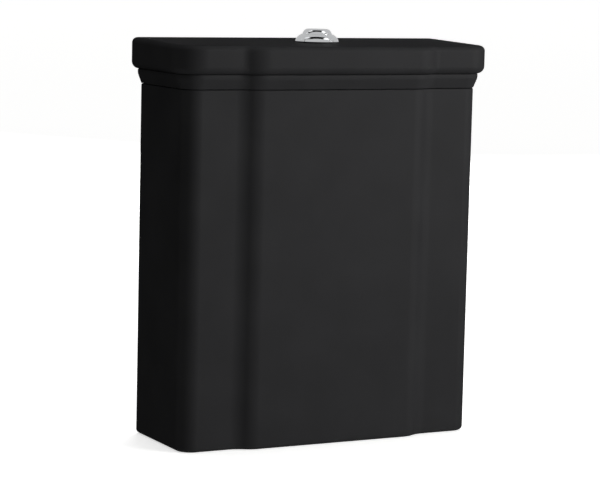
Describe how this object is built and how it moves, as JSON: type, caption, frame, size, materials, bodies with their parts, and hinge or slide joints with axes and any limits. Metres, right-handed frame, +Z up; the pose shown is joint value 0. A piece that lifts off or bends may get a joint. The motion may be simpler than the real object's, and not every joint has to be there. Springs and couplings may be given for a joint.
{
  "type": "toilet cistern",
  "caption": "Close-coupled toilet cistern in black glazed ceramic: breakfront tank, corniced lid with a chrome push button, and the flush and fill valves inside.",
  "frame": {"origin": "on the axis of the button and the flush outlet, in the plane of the tank's foot, which is the middle of the footprint of the whole", "axes": "+Z up, -Y out of the front, +Y into the wall, +X to the right of someone who faces the front"},
  "size_m": [0.3926, 0.1492, 0.465],
  "materials": {
    "black_glaze": "gloss glaze",
    "chrome": "polished",
    "black_rubber": "matt",
    "foam_rubber": "cellular",
    "red_silicone": "matt",
    "white_plastic": "moulded",
    "blue_plastic": "moulded",
    "orange_plastic": "moulded",
    "grey_plastic": "moulded",
    "spring_steel": "drawn"
  },
  "bodies": {
    "tank": {"tank": "black_glaze", "outlet_seat": "white_plastic", "seat_gasket": "black_rubber", "outlet_nut": "white_plastic", "coupling_washer": "foam_rubber", "valve_basket": "blue_plastic", "valve_cap": "white_plastic", "head_columns": "blue_plastic", "head_bridge": "blue_plastic", "rocker_pins": "spring_steel", "fill_shank": "white_plastic", "inlet_filter": "blue_plastic", "inlet_gasket": "black_rubber", "inlet_nut": "white_plastic", "valve_head": "white_plastic", "diaphragm": "black_rubber", "screw_cap": "blue_plastic", "outlet_spout": "white_plastic", "lever_pin": "spring_steel"},
    "lid": {"lid": "black_glaze", "lid_buffers": "black_rubber", "button_collar": "chrome", "collar_gasket": "black_rubber", "nut_washer": "black_rubber", "button_nut": "white_plastic", "button_spring": "spring_steel"},
    "button": {"push_button": "chrome", "push_rod": "white_plastic"},
    "plunger": {"plunger": "orange_plastic"},
    "rocker_left": {"rocker_left": "orange_plastic"},
    "rocker_right": {"rocker_right": "orange_plastic"},
    "valve": {"lift_tube": "white_plastic", "seal_disc": "red_silicone", "clamp_disc": "white_plastic", "seal_retainer": "white_plastic", "flush_float": "grey_plastic", "lift_ring": "white_plastic"},
    "float": {"float_cup": "grey_plastic", "float_link": "white_plastic"},
    "fill_lever": {"fill_lever": "orange_plastic"}
  },
  "joints": [
    {"name": "lid_lift", "type": "slide", "parent": "tank", "child": "lid", "axis": [0, 0, 1], "range_m": [0, 0.12]},
    {"name": "button_press", "type": "slide", "parent": "lid", "child": "button", "axis": [0, 0, -1], "range_m": [0, 0.007], "stiffness_N_per_m": 400, "springref_m": -0.004, "deforming": ["button_spring"]},
    {"name": "plunger_press", "type": "slide", "parent": "tank", "child": "plunger", "axis": [0, 0, -1], "range_m": [0, 0.007]},
    {"name": "rocker_left_turn", "type": "hinge", "parent": "tank", "child": "rocker_left", "pos_m": [-0.036, 0, 0.306], "axis": [0, -1, 0], "range_deg": [0, 25.1]},
    {"name": "rocker_right_turn", "type": "hinge", "parent": "tank", "child": "rocker_right", "pos_m": [0.036, 0, 0.306], "axis": [0, 1, 0], "range_deg": [0, 25.1]},
    {"name": "valve_lift", "type": "slide", "parent": "tank", "child": "valve", "axis": [0, 0, 1], "range_m": [0, 0.0079]},
    {"name": "float_rise", "type": "slide", "parent": "tank", "child": "float", "axis": [0, 0, 1], "range_m": [0, 0.012]},
    {"name": "fill_lever_turn", "type": "hinge", "parent": "tank", "child": "fill_lever", "pos_m": [0.088, 0, 0.33], "axis": [0, -1, 0], "range_deg": [0, 11.2]}
  ],
  "couplings": [
    {"joint": "plunger_press", "follows": "button_press", "ratio": 1},
    {"joint": "rocker_left_turn", "follows": "button_press", "rad_per_m": 62.5},
    {"joint": "rocker_right_turn", "follows": "button_press", "rad_per_m": 62.5},
    {"joint": "valve_lift", "follows": "button_press", "ratio": 1.125},
    {"joint": "fill_lever_turn", "follows": "float_rise", "rad_per_m": 16.26}
  ]
}
